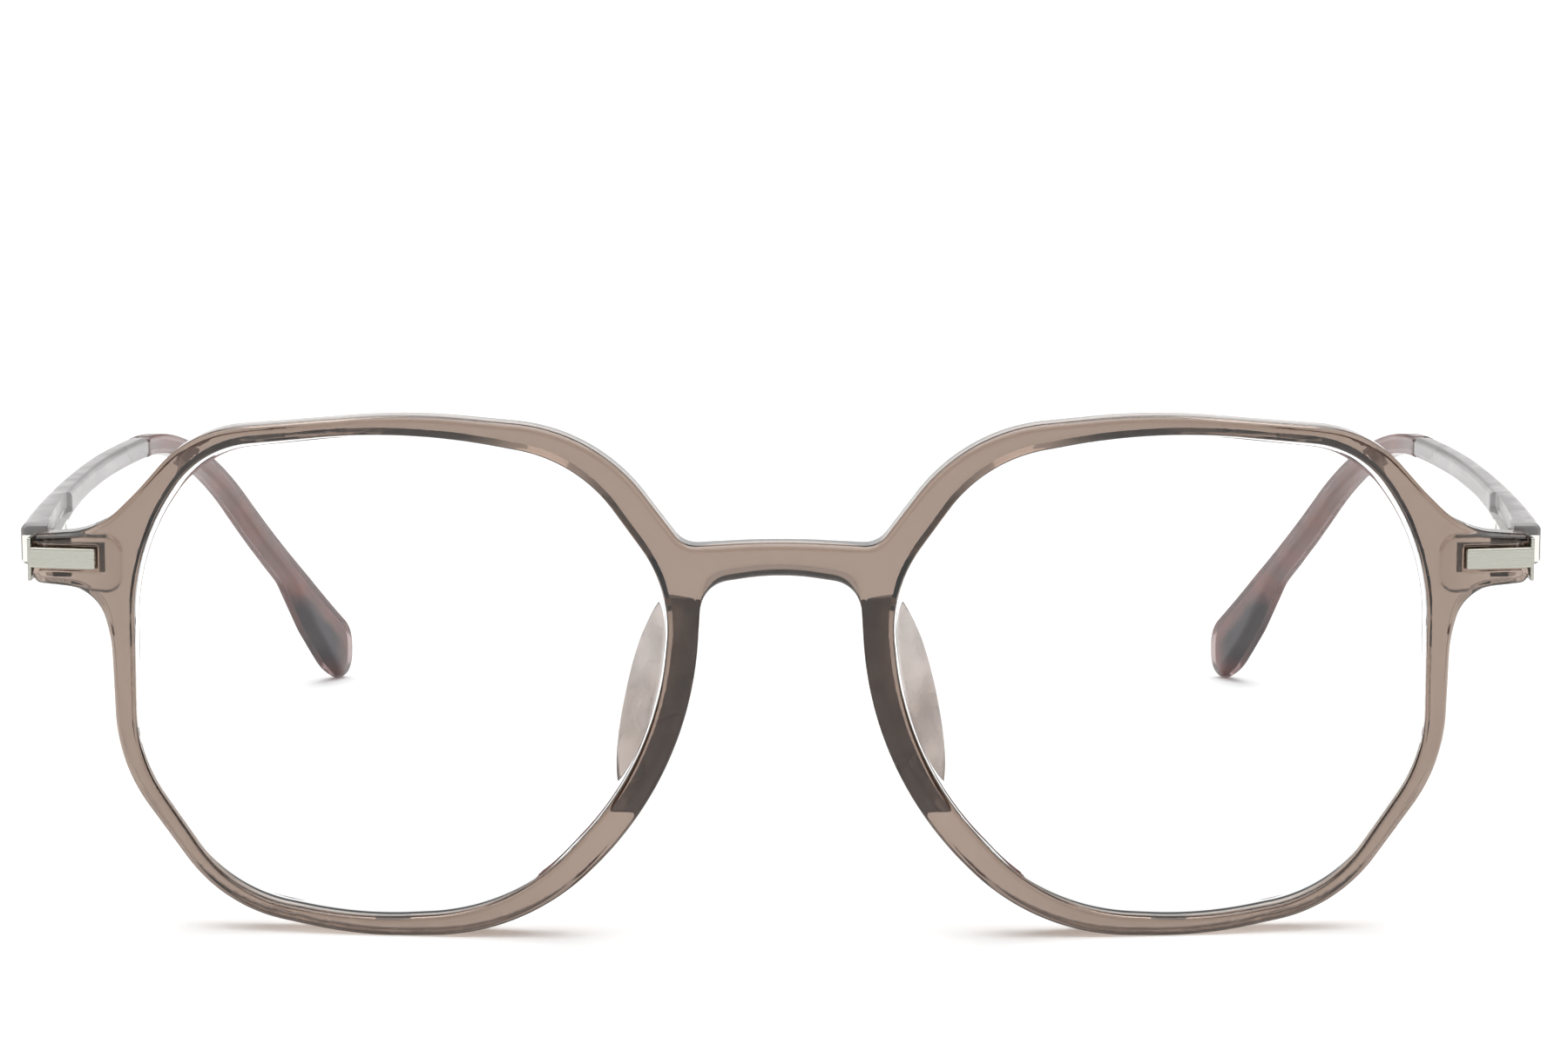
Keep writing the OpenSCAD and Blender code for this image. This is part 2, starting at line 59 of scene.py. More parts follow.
RIM_TOP, RIM_SIDE, RIM_CHEEK, RIM_LOW, RIM_NOSE, RIM_BROW = 1.5, 2.4, 1.9, 1.6, 3.4, 3.0
END_X, END_H, END_T = EYE_X + OUT + 10.2, 4.6, 2.8
LENS_T, LENS_R, LENS_SET = 1.8, 180.0, 0.15

# Corners of an eye opening from its middle, clockwise from the top: [across, up, radius].
EYE = [
    [-0.8, UP + 0.6, 60],
    [OUT - 6.3, UP - 1.4, 10],
    [OUT + 0.4, 11.6, 22],
    [OUT + 0.4, -8.4, 14],
    [OUT - 8.5, 1.7 - UP, 13.5],
    [4.2, -UP - 0.45, 40],
    [14.4 - OUT, 0.55 - UP, 20],
    [0.95 - OUT, -7.4, 30],
    [-OUT - 0.6, 8.6, 13],
    [8.2 - OUT, UP - 2.2, 14],
]
RIM = [
    RIM_TOP, (RIM_TOP + RIM_CHEEK) / 2, RIM_SIDE, RIM_CHEEK, RIM_LOW - 0.2,
    RIM_LOW, (2 * RIM_LOW + RIM_NOSE) / 3, RIM_NOSE, RIM_NOSE, RIM_BROW,
]


def unit(v):
    """A direction with length 1."""
    return v / np.linalg.norm(v)


def corner_of(corners, i):
    """A corner's place, the ways to its neighbours, half its angle, the way in and the turn."""
    here = np.array(corners[i][:2], float)
    back = unit(np.array(corners[i - 1][:2], float) - here)
    on = unit(np.array(corners[(i + 1) % len(corners)][:2], float) - here)
    turn = np.sign(back[0] * on[1] - back[1] * on[0])
    return here, back, on, math.acos(float(back @ on)) / 2, unit(back + on), turn


def grown(corners, widths):
    """The corners moved outward by a width each, with radii to match."""
    moved = []
    for i, width in enumerate(widths):
        here, back, on, half, inward, turn = corner_of(corners, i)
        place = here - inward * turn * width / math.sin(half)
        moved.append([*place, max(0.05, corners[i][2] + turn * width)])
    return moved


def centre_of(corners, i):
    """Where the centre of a corner's arc lies, on its inward line."""
    here, back, on, half, inward, turn = corner_of(corners, i)
    return here + inward * corners[i][2] / math.sin(half)


def end_of(corners, i, towards):
    """Where a corner's arc meets its straight edge, before it (-1) or after it (1)."""
    here, back, on, half, inward, turn = corner_of(corners, i)
    return here + (on if towards > 0 else back) * corners[i][2] / math.tan(half)


def rounded(corners, step):
    """Points and outward normals round a closed outline: an arc at each corner, turned about its
    centre from its first end, then an even run to the next corner's arc."""
    points, normals = [], []
    for i in range(len(corners)):
        here, back, on, half, inward, turn = corner_of(corners, i)
        sweep = math.pi - 2 * half
        count = max(math.ceil(sweep / math.radians(7)), math.ceil(corners[i][2] * sweep / step))
        first = end_of(corners, i, -1) - centre_of(corners, i)
        angle = -turn * sweep * np.arange(count + 1)[:, None] / count
        across = np.array([-first[1], first[0]])
        spokes = first * np.cos(angle) + across * np.sin(angle)
        arc_normals = spokes / corners[i][2] * turn
        stop = end_of(corners, (i + 1) % len(corners), -1)
        start = centre_of(corners, i) + spokes[-1]
        count = max(math.ceil(np.linalg.norm(stop - start) / step), 1)
        share = np.arange(1, count)[:, None] / count
        points += [centre_of(corners, i) + spokes, start + (stop - start) * share]
        normals += [arc_normals, np.repeat(arc_normals[-1:], count - 1, 0)]
    return np.concatenate(points), np.concatenate(normals)


def from_eye(corner):
    """An eye corner measured from the bridge."""
    return [EYE_X + corner[0], EYE_Z + corner[1], corner[2]]


# The rim's lowest corner stands on the ground and is worn flat by 0.04 mm.
RIM_OUTER = grown(EYE, RIM)
EYE_Z = RIM_OUTER[5][2] - centre_of(RIM_OUTER, 5)[1] - 0.04
EYE_TOP = EYE_Z + UP
BRIDGE_Z = EYE_TOP - 9.9
ARCH_X, ARCH_Z = BRIDGE_W / 2 - RIM_NOSE, BRIDGE_Z - 3.1
END_Z = EYE_TOP - 12.35
END_TOP, END_LOW = END_Z + END_H / 2, END_Z - END_H / 2
RIM_X = EYE_X + OUT + 0.4 + RIM_SIDE


def front_corners():
    """The front's whole outline: its left half, then the mirror image the other way round."""
    brow = end_of(RIM_OUTER, 9, -1) + [EYE_X, EYE_Z]
    foot = end_of(RIM_OUTER, 8, 1) + [EYE_X, EYE_Z]
    join_z = BRIDGE_Z - 0.35
    join_x = brow[0] + (foot[0] - brow[0]) * (brow[1] - join_z) / (brow[1] - foot[1])
    half = [
        [join_x, join_z, 2.5],
        *[from_eye(RIM_OUTER[i]) for i in (9, 0, 1)],
        [RIM_X - 2.9, END_TOP + 4.4, 25],
        [RIM_X + 1.1, END_TOP + 0.5, 8.5],
        [END_X, END_TOP, 0.6],
        [END_X, END_LOW, 1.0],
        [RIM_X + 1.2, END_LOW - 0.45, 4.2],
        [RIM_X - 0.1, END_LOW - 5.2, 14],
        *[from_eye(RIM_OUTER[i]) for i in (3, 4, 5, 6, 7)],
        [ARCH_X, ARCH_Z - 0.9, 3],
    ]
    other = [[-x, z, radius] for x, z, radius in half[::-1]]
    return [[0, BRIDGE_Z + 0.15, 80], *half, [0, ARCH_Z + 0.25, 22], *other]


def bow_y(x, depth=0.0):
    """How far back the front lies at a depth behind its face: an arc of the bow's radius."""
    return BOW_R - np.sqrt((BOW_R - depth) ** 2 - np.asarray(x, float) ** 2)


END_BACK = float(bow_y(END_X)) + END_T
FLAT_X = EYE_X + OUT + 1.6

# The raised block on an end piece, and the bed in it that the trim bar lies in, with a gap over
# the bar, under it, at its end and behind it. Each has round corners and a sloping edge.
BLOCK_X, BLOCK_PROUD, BLOCK_R, BLOCK_SLOPE = EYE_X + OUT + 1.3, 0.25, 1.9, 0.35
BAR_L, BAR_H, BAR_PROUD, BAR_SUNK = 6.2, 1.95, 0.35, 0.45
BAR_X, BAR_Z = END_X - BAR_L, END_Z + 0.2
GAP_OVER, GAP_UNDER, GAP_END, GAP_BEHIND, BED_R, BED_SLOPE = 0.34, 0.28, 0.36, 0.03, 0.3, 0.16
PAST = END_X + 3
BLOCK = [
    [PAST, END_TOP + 0.1], [PAST, END_LOW + 0.1],
    [BLOCK_X, END_LOW - 0.9], [BLOCK_X, END_TOP + 0.35],
]
BED = [
    [PAST, BAR_Z + BAR_H / 2 + GAP_OVER], [PAST, BAR_Z - BAR_H / 2 - GAP_UNDER],
    [BAR_X - GAP_END, BAR_Z - BAR_H / 2 - GAP_UNDER],
    [BAR_X - GAP_END, BAR_Z + BAR_H / 2 + GAP_OVER],
]


def smooth_step(t):
    """0 below 0, 1 above 1 and an S curve between."""
    t = np.clip(t, 0, 1)
    return t * t * (3 - 2 * t)


def depth_inside(x, z, corners, radius):
    """How far inside a clockwise four-sided shape with round corners a point lies, less than 0
    outside it: the furthest of its distances past the sides, rounded where two of them meet."""
    sides = []
    for i in range(4):
        along = unit(np.array(corners[i]) - np.array(corners[i - 1]))
        sides.append((z - corners[i][1]) * along[0] - (x - corners[i][0]) * along[1] + radius)
    sides = np.array(sides)
    past = np.sqrt((np.maximum(sides, 0) ** 2).sum(0))
    return radius - past - np.minimum(sides.max(0), 0)


def face_y(x, z):
    """The front's face: the bow, raised over each block and sunk in each bar's bed."""
    x = np.abs(x)
    rise = BLOCK_PROUD * smooth_step(depth_inside(x, z, BLOCK, BLOCK_R) / BLOCK_SLOPE)
    bed = (BAR_SUNK + GAP_BEHIND) * smooth_step(depth_inside(x, z, BED, BED_R) / BED_SLOPE)
    return bow_y(x) - rise + bed


def back_y(x, z):
    """The front's back: bowed like its face, and flat across the end pieces."""
    x = np.abs(x)
    bowed = bow_y(x, FRONT_T)
    return np.where(x > FLAT_X, np.minimum(bowed, END_BACK), bowed)


def lens_y(x, z, radius):
    """A ball's face behind the left eye: LENS_R for a lens's front, less LENS_T for its back."""
    turn = math.asin(EYE_X / BOW_R)
    ball_x = EYE_X - math.sin(turn) * (LENS_SET + LENS_R)
    ball_y = float(bow_y(EYE_X)) + math.cos(turn) * (LENS_SET + LENS_R)
    return ball_y - np.sqrt(radius ** 2 - (x - ball_x) ** 2 - (z - EYE_Z) ** 2)


def lens_middle(x, z):
    """Half way through a lens."""
    return (lens_y(np.abs(x), z, LENS_R) + lens_y(np.abs(x), z, LENS_R - LENS_T)) / 2


def strip(index):
    """Faces between the rows of a grid of point numbers, each row closed on itself."""
    after = np.roll(index, -1, 1)
    return np.stack([index[:-1], after[:-1], after[1:], index[1:]], -1).reshape(-1, 4).tolist()


def edge_rows(radius, between, steps):
    """Rows over an edge from face to back: how far in each lies, its share of the way back and a
    distance past that. They make a quarter turn, the rows between and the turn the other way."""
    turn = np.linspace(0, math.pi / 2, steps + 1)
    inset, sunk = radius * (1 - np.sin(turn)), radius * (1 - np.cos(turn))
    front = [(a, 0, b) for a, b in zip(inset, sunk)]
    return front + between + [(a, 1, -b) for a, _, b in front[::-1]]


def edge_points(outline, normals, rows, wider=1.0):
    """The points of those rows along an outline, wider by a factor where one is given for each
    point. A share of None is measured from the lens."""
    grid = []
    for inset, share, past in rows:
        x, z = (outline + normals * inset * np.reshape(wider, (-1, 1))).T
        past = past * wider
        if share is None:
            y = lens_middle(*outline.T) + past
        else:
            y = face_y(x, z) * (1 - share) + back_y(x, z) * share + past
        grid.append(np.stack([x, y, np.maximum(z, 0)], -1))
    return np.array(grid)


def within(points, loop):
    """Which points lie inside a loop: those with an odd count of its edges to their right."""
    x, z = points[:, 0, None], points[:, 1, None]
    a, b = loop, np.roll(loop, -1, 0)
    rise = b[:, 1] - a[:, 1]
    slope = (b[:, 0] - a[:, 0]) / np.where(rise == 0, 1e-9, rise)
    spans = (a[:, 1] > z) != (b[:, 1] > z)
    return (spans & (x < a[:, 0] + (z - a[:, 1]) * slope)).sum(1) % 2 == 1


def lattice(low, high, step):
    """Points on a lattice of triangles between two corners."""
    x, z = np.meshgrid(np.arange(low[0], high[0], step), np.arange(low[1], high[1], step * 0.87))
    x = x + step / 2 * (np.arange(len(x)) % 2)[:, None]
    return np.stack([x.ravel(), z.ravel()], -1)


def beside_rings(triangles, rings, way):
    """Which triangles have an edge of a ring as theirs, with the plastic on the triangle's side of
    it (1) or on the other (-1). Every ring runs clockwise, round the plastic first and then round
    the holes, and every triangle runs the other way."""
    sizes = np.array([len(ring) for ring in rings])
    starts = np.cumsum(sizes) - sizes
    after = np.roll(triangles, -1, 1)
    ring = np.searchsorted(starts, triangles, "right") - 1
    on_one = (ring == np.searchsorted(starts, after, "right") - 1) & (triangles < sizes.sum())
    on_one &= after < sizes.sum()
    step = (after - triangles) % sizes[ring]
    wanted = np.where((ring > 0) == (way > 0), 1, sizes[ring] - 1)
    return (on_one & (step == wanted)).any(1)


# Half the V groove's mouth, its depth and half its floor. The edge under the arch is rounder.
GROOVE_HALF, GROOVE_DEEP, GROOVE_FLOOR = 0.6, 0.55, 0.05
OUTLINE_STEP, EDGE_R, GROOVE_EDGE_R, ARCH_ROUNDER = 0.45, 0.58, 0.35, 0.9

# The steps of the two lattices, the room that the finer one takes on an end piece (its middle,
# half its width, its bottom and its top), how far the coarser one keeps from that room, and how
# far both keep from a band.
COARSE, FINE = 0.6, 0.15
FINE_X, FINE_HALF, FINE_LOW, FINE_TOP, APART, CLEAR = 66.2, 5, 31.5, 39.5, 0.2, 0.12


def front_mesh():
    """The front as a closed skin: a rounded band over each of its three edges, and a face and a
    back between the bands, on a lattice that is finer on the end pieces."""
    outline, normals = rounded(front_corners(), OUTLINE_STEP)
    wall = [(0, 0.25, 0), (0, 0.5, 0), (0, 0.75, 0)]
    groove = [(0, None, -GROOVE_HALF), (GROOVE_DEEP, None, -GROOVE_FLOOR)]
    groove += [(out, None, -past) for out, _, past in groove[::-1]]
    arch = (np.abs(outline[:, 0]) < ARCH_X + 2) & (outline[:, 1] > ARCH_Z - 5)
    wider = 1 + ARCH_ROUNDER * arch * smooth_step(-normals[:, 1] * 1.4 - 0.2)
    bands = [edge_points(outline, -normals, edge_rows(EDGE_R, wall, 7), wider)]
    eye, eye_normals = rounded([from_eye(corner) for corner in EYE], OUTLINE_STEP)
    left = edge_points(eye, eye_normals, edge_rows(GROOVE_EDGE_R, groove, 4))
    bands += [left, left[:, ::-1] * [-1, 1, 1]]
    starts = np.cumsum([0] + [band[..., 0].size for band in bands])
    grids = [s + np.arange(b[..., 0].size).reshape(b.shape[:2]) for s, b in zip(starts, bands)]
    faces = strip(grids[0]) + strip(grids[1][::-1]) + strip(grids[2][::-1])

    # The lattices' points that lie in the plastic, clear of the bands.
    rings = [band[0][:, [0, 2]] for band in bands]
    middles = [side * FINE_X for side in (LEFT, RIGHT)]
    ends = [lattice((x - FINE_HALF, FINE_LOW), (x + FINE_HALF, FINE_TOP), FINE) for x in middles]
    fill = lattice((-72, 0), (72, 50), COARSE)
    on_end = np.abs(fill[:, 0]) > FINE_X - FINE_HALF - APART
    on_end &= (fill[:, 1] > FINE_LOW - APART) & (fill[:, 1] < FINE_TOP + APART)
    fill = np.concatenate([fill[~on_end], *ends])
    fill = fill[within(fill, rings[0]) & ~within(fill, rings[1]) & ~within(fill, rings[2])]
    near = [
        ((block[:, None] - np.concatenate(rings)) ** 2).sum(2).min(1)
        for block in np.array_split(fill, 20)
    ]
    fill = fill[np.concatenate(near) > CLEAR ** 2]

    # Triangles between the bands' first rows and those points, less the ones in the two holes and
    # outside. The face and the back share them.
    ring_starts = np.cumsum([0] + [len(ring) for ring in rings])
    edges = [
        (start + k, start + (k + 1) % len(ring))
        for start, ring in zip(ring_starts, rings) for k in range(len(ring))
    ]
    flat = np.concatenate([*rings, fill])
    made = delaunay_2d_cdt([Vector(p) for p in flat], edges, [], 0, 1e-7)
    origin = np.array([known[0] if known else -1 for known in made[3]])
    triangles = np.array(made[2])
    middle = np.array([tuple(p) for p in made[0]])[triangles].mean(1)
    keep = within(middle, rings[0]) & ~within(middle, rings[1]) & ~within(middle, rings[2])
    triangles = origin[triangles]
    keep = (keep | beside_rings(triangles, rings, 1)) & ~beside_rings(triangles, rings, -1)
    triangles = triangles[keep]

    # The back takes each band's last row, and its triangles are turned over.
    points = [band.reshape(-1, 3) for band in bands]
    for row, surface in ((0, face_y), (-1, back_y)):
        start = sum(len(p) for p in points)
        points.append(np.stack([fill[:, 0], surface(*fill.T), fill[:, 1]], -1))
        number = np.concatenate([*[grid[row] for grid in grids], start + np.arange(len(fill))])
        filled = number[triangles]
        faces += (filled if row == 0 else filled[:, ::-1]).tolist()
    return np.concatenate(points), faces


def piece(name, points, faces, material, body, slot, *replaced, side=LEFT):
    """A mesh of millimetres from the bridge's face, made an object that rides on a body. On the
    right it is the mirror image, with its faces turned to point outwards again."""
    points = (np.asarray(points, float) * [side, 1, 1] + [0, FACE_Y, 0]) * MM
    mesh = bpy.data.meshes.new(name)
    mesh.from_pydata(points.tolist(), [], [f[::-1] for f in faces] if side == RIGHT else faces)
    shape = bmesh.new()
    shape.from_mesh(mesh)
    bmesh.ops.dissolve_degenerate(shape, dist=0.001 * MM, edges=shape.edges)
    shape.to_mesh(mesh)
    shape.free()
    mesh.shade_smooth()
    mesh.materials.append(material)
    made = bpy.data.objects.new(name, mesh)
    bpy.context.scene.collection.objects.link(made)
    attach(made, body)
    if replaced:
        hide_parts(*replaced)
    return made


def linear(hex_colour):
    """An sRGB hex colour as linear red, green, blue and full alpha."""
    values = [int(hex_colour[i:i + 2], 16) / 255 for i in (1, 3, 5)]
    return *(v / 12.92 if v <= 0.04045 else ((v + 0.055) / 1.055) ** 2.4 for v in values), 1


def add(tree, kind, links=(), settings=(), **inputs):
    """A shader node, with its inputs set by name, its own settings, and links into its inputs."""
    made = tree.nodes.new("ShaderNode" + kind)
    for name, value in dict(settings).items():
        setattr(made, name, value)
    for name, value in inputs.items():
        made.inputs[name.replace("_", " ")].default_value = value
    for output, name in links:
        tree.links.new(output, made.inputs[name])
    return made


# Settings that several nodes share.
SMOOTH = {"interpolation_type": "SMOOTHSTEP"}
TIMES, PLUS = {"operation": "MULTIPLY"}, {"operation": "ADD"}


def new_material(name):
    """An empty material with its tree, Principled shader and output."""
    material = bpy.data.materials.new(name)
    material.use_nodes = True
    tree = material.node_tree
    return material, tree, tree.nodes["Principled BSDF"], tree.nodes["Material Output"]


def set_inputs(shader, **inputs):
    """The shader's own sockets, set by name."""
    for name, value in inputs.items():
        shader.inputs[name.replace("_", " ")].default_value = value


def let_lamps_through(tree, shader, output, shade):
    """Lamps shine through with a tint, so that the shadow is as pale as the real one."""
    tint = add(tree, "BsdfTransparent", Color=linear(shade))
    path = add(tree, "LightPath")
    mix = add(tree, "MixShader", [(path.outputs["Is Shadow Ray"], "Fac")])
    tree.links.new(shader.outputs[0], mix.inputs[1])
    tree.links.new(tint.outputs[0], mix.inputs[2])
    tree.links.new(mix.outputs[0], output.inputs["Surface"])


def clear_plastic(name, surface, inside, per_metre, shade, clear, rough, wave):
    """Tinted plastic. The tint comes from how far light goes through it, and what isn't clear in
    it is milky. Its polish varies in cells of 3 mm, and the mould's waves, 8 mm long, bend what
    is seen through it."""
    material, tree, shader, output = new_material(name)
    set_inputs(shader, Base_Color=linear(surface), Transmission_Weight=clear, IOR=1.5)
    where = add(tree, "TexCoord").outputs["Object"]
    polish = add(tree, "TexNoise", [(where, "Vector")], Scale=300, Detail=2)
    spread = add(
        tree, "MapRange", [(polish.outputs["Fac"], "Value")], To_Min=rough * 0.5, To_Max=rough * 1.5
    )
    tree.links.new(spread.outputs["Result"], shader.inputs["Roughness"])
    waves = add(tree, "TexNoise", [(where, "Vector")], Scale=120, Detail=1)
    bump = add(tree, "Bump", [(waves.outputs["Fac"], "Height")], Strength=wave, Distance=0.0002)
    tree.links.new(bump.outputs["Normal"], shader.inputs["Normal"])
    let_lamps_through(tree, shader, output, shade)
    tint = add(tree, "VolumeAbsorption", Color=linear(inside), Density=per_metre)
    tree.links.new(tint.outputs[0], output.inputs["Volume"])
    return material


# Taupe polyamide, tumbled glossy: the flats read mid taupe, and the round edges read dark where
# they bend the dark sides of the room into view.
TAUPE = clear_plastic(
    "tumbled_taupe_polyamide", surface="#f3ece8", inside="#b09a86", per_metre=495.0,
    shade="#e2dedb", clear=1.0, rough=0.02, wave=0.08,
)
points, faces = front_mesh()
piece("front", points, faces, TAUPE, "front", "front_plastic", "front_frame")

# THE LENSES
# Clear plastic lenses, 1.8 mm thick on a 180 mm curve, edged with a V bevel that snaps into the
# rims' grooves and coated against reflections. They have a little play, and the bevel's tip is
# flat: half its width is given.
LENS_GAP, BEVEL_OUT, BEVEL_FLAT = 0.03, 0.46, 0.04


def tube(rings):
    """A closed skin through rings of points, with a flat cap on its first and its last ring."""
    index = np.arange(rings[..., 0].size).reshape(rings.shape[:2])
    return rings.reshape(-1, 3), strip(index) + [index[0, ::-1].tolist(), index[-1].tolist()]


def lens_mesh():
    """Rings from the middle of the front out to the bevel and back in on the other side."""
    eye, normals = rounded([from_eye(corner) for corner in EYE], OUTLINE_STEP)
    edge = eye - normals * LENS_GAP
    shares = [0.02, 0.15, 0.3, 0.45, 0.6, 0.72, 0.84, 0.93, 0.98, 1.0]
    middle = np.array([EYE_X, EYE_Z])
    rings = []
    for share in shares:
        x, z = (middle + (edge - middle) * share).T
        rings.append(np.stack([x, lens_y(x, z, LENS_R), z], -1))
    bevel = [(0, -GROOVE_HALF), (BEVEL_OUT, -BEVEL_FLAT), (BEVEL_OUT, BEVEL_FLAT), (0, GROOVE_HALF)]
    for out, past in bevel:
        x, z = (edge + normals * out).T
        rings.append(np.stack([x, lens_middle(*edge.T) + past, z], -1))
    for share in shares[::-1]:
        x, z = (middle + (edge - middle) * share).T
        rings.append(np.stack([x, lens_y(x, z, LENS_R - LENS_T), z], -1))
    return tube(np.array(rings))


# Lens resin: colourless, with the faint cool reflection that a coating leaves, so that the eye
# sees straight through it. Its haze is in cells of 17 mm.
material, tree, shader, output = new_material("coated_lens_resin")
set_inputs(
    shader, Base_Color=linear("#fcfdfd"), Transmission_Weight=1.0, Roughness=0.0, IOR=1.5,
    Specular_Tint=linear("#5c626e"),
)
where = add(tree, "TexCoord").outputs["Object"]
haze = add(tree, "TexNoise", [(where, "Vector")], Scale=60, Detail=2)
bump = add(tree, "Bump", [(haze.outputs["Fac"], "Height")], Strength=0.01, Distance=0.0001)
tree.links.new(bump.outputs["Normal"], shader.inputs["Normal"])
let_lamps_through(tree, shader, output, "#fcfdfd")
for side, name in SIDES:
    points, faces = lens_mesh()
    piece(
        f"{name}_lens_clear", points, faces, material, "front", "lens_glass", f"{name}_lens",
        side=side,
    )

# THE NOSE PADS
# Two tongues of clear plastic, set in slots in the back of the rims beside the nose. They flare
# outwards, end in a level ledge at the top and run out into the rim at the bottom. Their foot
# has a skirt on the nose's side, and their tip is thinner and round.
PAD_LOW, PAD_HIGH, PAD_DEEPEST = EYE_Z - 13.1, EYE_Z + 7.5, EYE_Z - 1.8
PAD_T, PAD_FLARE, PAD_DEPTH, PAD_LEAST = 2.1, math.radians(31), 7.2, 0.45
PAD_TIP_T, PAD_TIP_R, PAD_SKIRT, PAD_ROOT, PAD_LEAN = 1.24, 0.8, 0.5, 0.3, 1.2
PAD_HALF = (PAD_HIGH - PAD_LOW) / 2
PAD_ARC = (PAD_HALF ** 2 + PAD_DEPTH ** 2) / (2 * PAD_DEPTH)


def nasal_x(z, out):
    """Where the nasal side of the eye opening lies at a height, so far out into the rim."""
    eye, normals = rounded([from_eye(corner) for corner in EYE], OUTLINE_STEP)
    line = (eye + normals * out)[eye[:, 0] < EYE_X - 8]
    line = line[np.argsort(line[:, 1])]
    return np.interp(z, line[:, 1], line[:, 0])


def pad_mesh():
    """Level sections up the rim's nasal side. Each is a tongue with a square foot and a round
    tip, as deep as an arc from the side, and leaning outwards as it goes back."""
    z = np.linspace(PAD_LOW + 0.02, PAD_HIGH - 0.02, 60)
    z = np.concatenate([z[:1], z[:1] + 0.08, z[1:-1], z[-1:] - 0.08, z[-1:]])
    rise = z - PAD_DEEPEST
    deep = np.sqrt(np.maximum(PAD_ARC ** 2 - rise ** 2, 0)) - (PAD_ARC - PAD_DEPTH)
    deep = np.maximum(deep, PAD_LEAST) / math.cos(PAD_FLARE)
    trim = np.ones(len(z))
    trim[[0, -1]] = 0.93
    side = np.linspace(0, 1, 7)
    turn = np.linspace(math.pi / 2, -math.pi / 2, 15)
    thin = PAD_TIP_T / 2 * trim[:, None]
    foot = PAD_T / 2 * trim[:, None]
    round_l = np.minimum(PAD_TIP_R, deep * 0.6)[:, None]
    back = (deep[:, None] - round_l) * side
    half = foot + (thin - foot) * side
    skirt = PAD_SKIRT * trim[:, None] * (1 - side) ** 2
    across = np.concatenate([half, thin * np.sin(turn[1:-1]), -half[:, ::-1] - skirt[:, ::-1]], 1)
    tip = deep[:, None] - round_l + round_l * np.cos(turn[1:-1])
    along = np.concatenate([back, tip, back[:, ::-1]], 1)
    root_x = nasal_x(z, PAD_ROOT + PAD_T / 2)[:, None]
    x = root_x + across * math.cos(PAD_FLARE) + along * math.sin(PAD_FLARE)
    lean = np.clip(along / PAD_LEAN, 0, 1)
    y = back_y(x, z) * (1 - lean) + back_y(root_x, z) * lean + 0.03
    y = y + along * math.cos(PAD_FLARE) - across * math.sin(PAD_FLARE) * lean
    rings = np.stack([x, y, np.broadcast_to(z[:, None], x.shape)], -1)
    return tube(rings)


PAD_PLASTIC = clear_plastic(
    "clear_pad_plastic", surface="#c9beb8", inside="#b8a698", per_metre=240.0,
    shade="#dedad6", clear=0.62, rough=0.16, wave=0.8,
)
# The pads are cloudy in patches of 4 mm, which mottles the strip of rim that they show through.
tree = PAD_PLASTIC.node_tree
where = add(tree, "TexCoord").outputs["Object"]
clouds = add(tree, "TexNoise", [(where, "Vector")], Scale=230, Detail=0.5)
clear = add(
    tree, "MapRange", [(clouds.outputs["Fac"], "Value")], From_Min=0.35, From_Max=0.65,
    To_Min=0.42, To_Max=0.9,
)
tree.links.new(clear.outputs["Result"], tree.nodes["Principled BSDF"].inputs["Transmission Weight"])
for side, name in SIDES:
    points, faces = pad_mesh()
    piece(
        f"{name}_pad", points, faces, PAD_PLASTIC, "front", "pad_plastic", f"{name}_nose_pad",
        side=side,
    )

# THE CORNER TRIMS
# A stamped bar of satin nickel silver lies in each end piece's bed, and a side plate covers the
# end face. Two rivet studs hold the bar through the plastic.
PLATE_T, PLATE_H = 0.4, END_H - 0.5
STUD_X, STUD_R = (END_X - 5.3, END_X - 3.1), 0.45


def box_mesh(x, y_low, y_high, z_low, z_high):
    """A box along X through four-cornered rings, which may follow the bow."""
    x = np.asarray(x, float)
    y_low, y_high = np.broadcast_to(y_low, x.shape), np.broadcast_to(y_high, x.shape)
    corners = [(y_low, z_low), (y_low, z_high), (y_high, z_high), (y_high, z_low)]
    rings = np.stack([np.stack([x, y, np.full_like(x, z)], -1) for y, z in corners], 1)
    return tube(rings[:, ::-1])


def joined(*meshes):
    """Several skins as one mesh."""
    starts = np.cumsum([0] + [len(points) for points, faces in meshes])
    faces = [[v + int(s) for v in face] for s, (_, fs) in zip(starts, meshes) for face in fs]
    return np.concatenate([points for points, _ in meshes]), faces


def bar_mesh():
    """The bar, which follows the bow, and its two studs."""
    x = np.linspace(BAR_X, END_X + PLATE_T, 9)
    bar = box_mesh(
        x, bow_y(x) - BLOCK_PROUD - BAR_PROUD, bow_y(x) - BLOCK_PROUD + BAR_SUNK,
        BAR_Z - BAR_H / 2, BAR_Z + BAR_H / 2,
    )
    turn = np.linspace(0, 2 * math.pi, 24, endpoint=False)
    studs = []
    for stud_x in STUD_X:
        y = np.array([float(bow_y(stud_x)) + 0.1, END_BACK])[:, None]
        ring = np.stack(np.broadcast_arrays(
            stud_x + STUD_R * np.cos(turn), y, BAR_Z + STUD_R * np.sin(turn)), -1)
        studs.append(tube(ring[:, ::-1]))
    return joined(bar, *studs)


def bevelled(made, width, segments=3):
    """Rounds a piece's sharp edges over a width in millimetres."""
    bevel = made.modifiers.new("rounded edges", "BEVEL")
    bevel.width, bevel.segments = width * MM, segments
    bevel.limit_method, bevel.angle_limit = "ANGLE", math.radians(35)
    bevel.harden_normals = True
    return made


